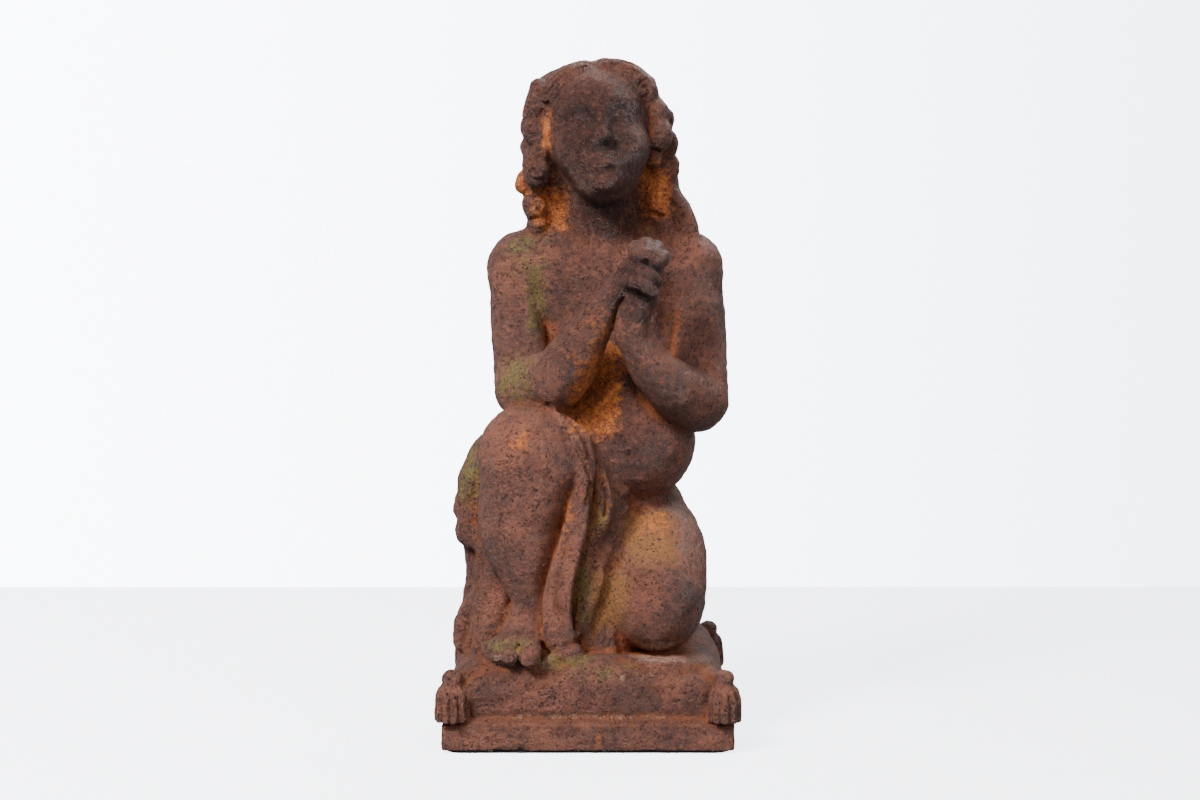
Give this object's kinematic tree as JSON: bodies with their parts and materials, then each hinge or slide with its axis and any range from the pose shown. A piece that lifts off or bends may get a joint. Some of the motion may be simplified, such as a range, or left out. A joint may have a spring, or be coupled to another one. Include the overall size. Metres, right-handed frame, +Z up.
{
  "type": "cast iron garden statue",
  "caption": "Rusted cast iron garden statue of a long-haired child kneeling in prayer on a tasselled cushion and low square plinth",
  "frame": {"origin": "middle of the underside of the felt, where the statue stands", "axes": "+Z up through the figure, the figure's front faces -Y, +X is the figure's left side"},
  "size_m": [0.267, 0.2668, 0.6187],
  "materials": {
    "rusted_iron": "rusted and pitted, with moss in the hollows",
    "black_felt": "rough felt"
  },
  "bodies": {
    "root": {"iron_casting": "rusted_iron", "felt_pad": "black_felt"}
  },
  "joints": []
}
